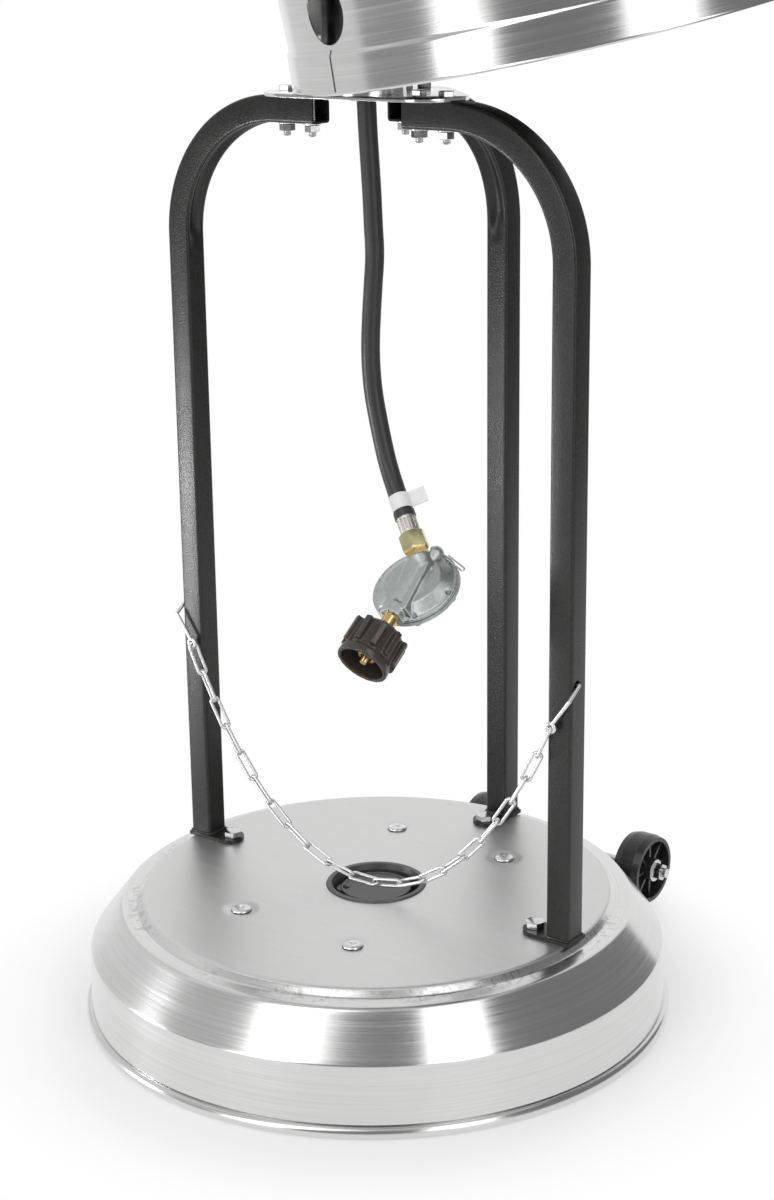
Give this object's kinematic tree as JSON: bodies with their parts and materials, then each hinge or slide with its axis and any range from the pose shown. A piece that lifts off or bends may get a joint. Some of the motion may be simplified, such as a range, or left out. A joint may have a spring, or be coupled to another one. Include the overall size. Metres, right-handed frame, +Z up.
{
  "type": "patio heater",
  "caption": "Gas patio heater on a round ballast base, its tank cover lifted and leaned so that the hose, regulator and restraint chain show",
  "frame": {"origin": "On the floor, on the axis of the post and of the base", "axes": "+Z is up along the post, the open front of the tank bay faces -Y, the wheels are at +Y"},
  "size_m": [0.813, 0.813, 2.1932],
  "materials": {
    "brushed_skin": "brushed stainless sheet",
    "polished_skin": "polished stainless",
    "sheet_aluminium": "bright spun sheet",
    "black_coat": "fine textured black powder coat",
    "zinc_plate": "bright zinc plated steel",
    "yellow_zinc": "yellow passivated zinc plate",
    "brass": "machined brass",
    "die_cast": "as cast grey alloy",
    "hose_rubber": "matte black rubber",
    "black_plastic": "moulded black plastic",
    "red_plastic": "gloss red plastic",
    "tank_plastic": "blow moulded grey plastic",
    "label_film": "white film, blank"
  },
  "bodies": {
    "stand": {"base_shell": "brushed_skin", "water_tank": "tank_plastic", "plateau_screws": "zinc_plate", "filler_dish": "black_plastic", "left_leg": "black_coat", "right_leg": "black_coat", "rear_leg": "black_coat", "foot_plates": "black_coat", "foot_bolts": "zinc_plate", "foot_nuts": "zinc_plate", "top_plate": "polished_skin", "plate_bolts": "zinc_plate", "plate_nuts": "zinc_plate", "post": "polished_skin", "hose_grommet": "hose_rubber", "hose": "hose_rubber", "riser_hose": "hose_rubber", "hose_label": "label_film", "hose_collar": "hose_rubber", "hose_ferrule": "zinc_plate", "swivel_nut": "yellow_zinc", "outlet_adapter": "brass", "regulator_body": "die_cast", "regulator_cover": "die_cast", "regulator_screws": "zinc_plate", "vent_wire": "zinc_plate", "inlet_nipple": "brass", "inlet_tip": "brass", "wheel_bracket": "black_coat", "bracket_bolts": "zinc_plate", "axle": "zinc_plate", "axle_washers": "zinc_plate", "axle_nuts": "zinc_plate", "head_plate": "brushed_skin", "control_housing": "brushed_skin", "control_panel": "black_coat", "gas_valve": "die_cast", "igniter_body": "black_plastic", "tilt_switch": "black_plastic", "burner": "brushed_skin", "pilot_tube": "polished_skin", "thermocouple": "brass", "emitter_base": "brushed_skin", "emitter_screen": "brushed_skin", "reflector_rods": "zinc_plate", "reflector": "sheet_aluminium", "reflector_nuts": "zinc_plate"},
    "left_wheel": {"left_wheel": "black_plastic"},
    "right_wheel": {"right_wheel": "black_plastic"},
    "cover_guide": {"cover_bush": "black_plastic"},
    "cover": {"cover_shell": "brushed_skin", "cover_lid": "brushed_skin"},
    "hand_nut": {"hand_nut": "black_plastic"},
    "filler_cap": {"filler_cap": "black_plastic"},
    "chain": {"chain_links": "zinc_plate", "left_hook": "zinc_plate", "right_hook": "zinc_plate"},
    "valve_stem": {"valve_stem": "brass"},
    "knob": {"control_knob": "black_plastic"},
    "igniter": {"igniter_button": "red_plastic"}
  },
  "joints": [
    {"name": "left_wheel_spin", "type": "hinge", "parent": "stand", "child": "left_wheel", "pos_m": [-0.08, 0.272, 0.031], "axis": [1, 0, 0], "continuous": true},
    {"name": "right_wheel_spin", "type": "hinge", "parent": "stand", "child": "right_wheel", "pos_m": [0.08, 0.272, 0.031], "axis": [1, 0, 0], "continuous": true},
    {"name": "cover_lift", "type": "slide", "parent": "stand", "child": "cover_guide", "axis": [0, 0, 1], "range_m": [0, 0.27]},
    {"name": "cover_tilt", "type": "hinge", "parent": "cover_guide", "child": "cover", "pos_m": [0, 0, 1.4272], "axis": [-0.6947, 0.7193, 0], "range_deg": [0, 12.3]},
    {"name": "hand_nut_turn", "type": "hinge", "parent": "stand", "child": "hand_nut", "pos_m": [0.066, -0.08538, 0.323], "axis": [0, -0.809, -0.5878], "continuous": true},
    {"name": "filler_cap_pull", "type": "slide", "parent": "stand", "child": "filler_cap", "axis": [0, 0, 1], "range_m": [0, 0.005]},
    {"name": "chain_swing", "type": "hinge", "parent": "stand", "child": "chain", "pos_m": [0, -0.0025, 0.295], "axis": [-1, 0, 0], "range_deg": [0, 75]},
    {"name": "knob_push", "type": "slide", "parent": "stand", "child": "valve_stem", "axis": [0, 1, 0], "range_m": [0, 0.004], "stiffness_N_per_m": 900},
    {"name": "knob_turn", "type": "hinge", "parent": "valve_stem", "child": "knob", "pos_m": [-0.026, -0.13, 1.786], "axis": [0, -1, 0], "range_deg": [0, 250]},
    {"name": "igniter_push", "type": "slide", "parent": "stand", "child": "igniter", "axis": [0, 1, 0], "range_m": [0, 0.005], "stiffness_N_per_m": 1500}
  ],
  "couplings": [
    {"joint": "cover_tilt", "follows": "cover_lift", "rad_per_m": 0.79}
  ]
}
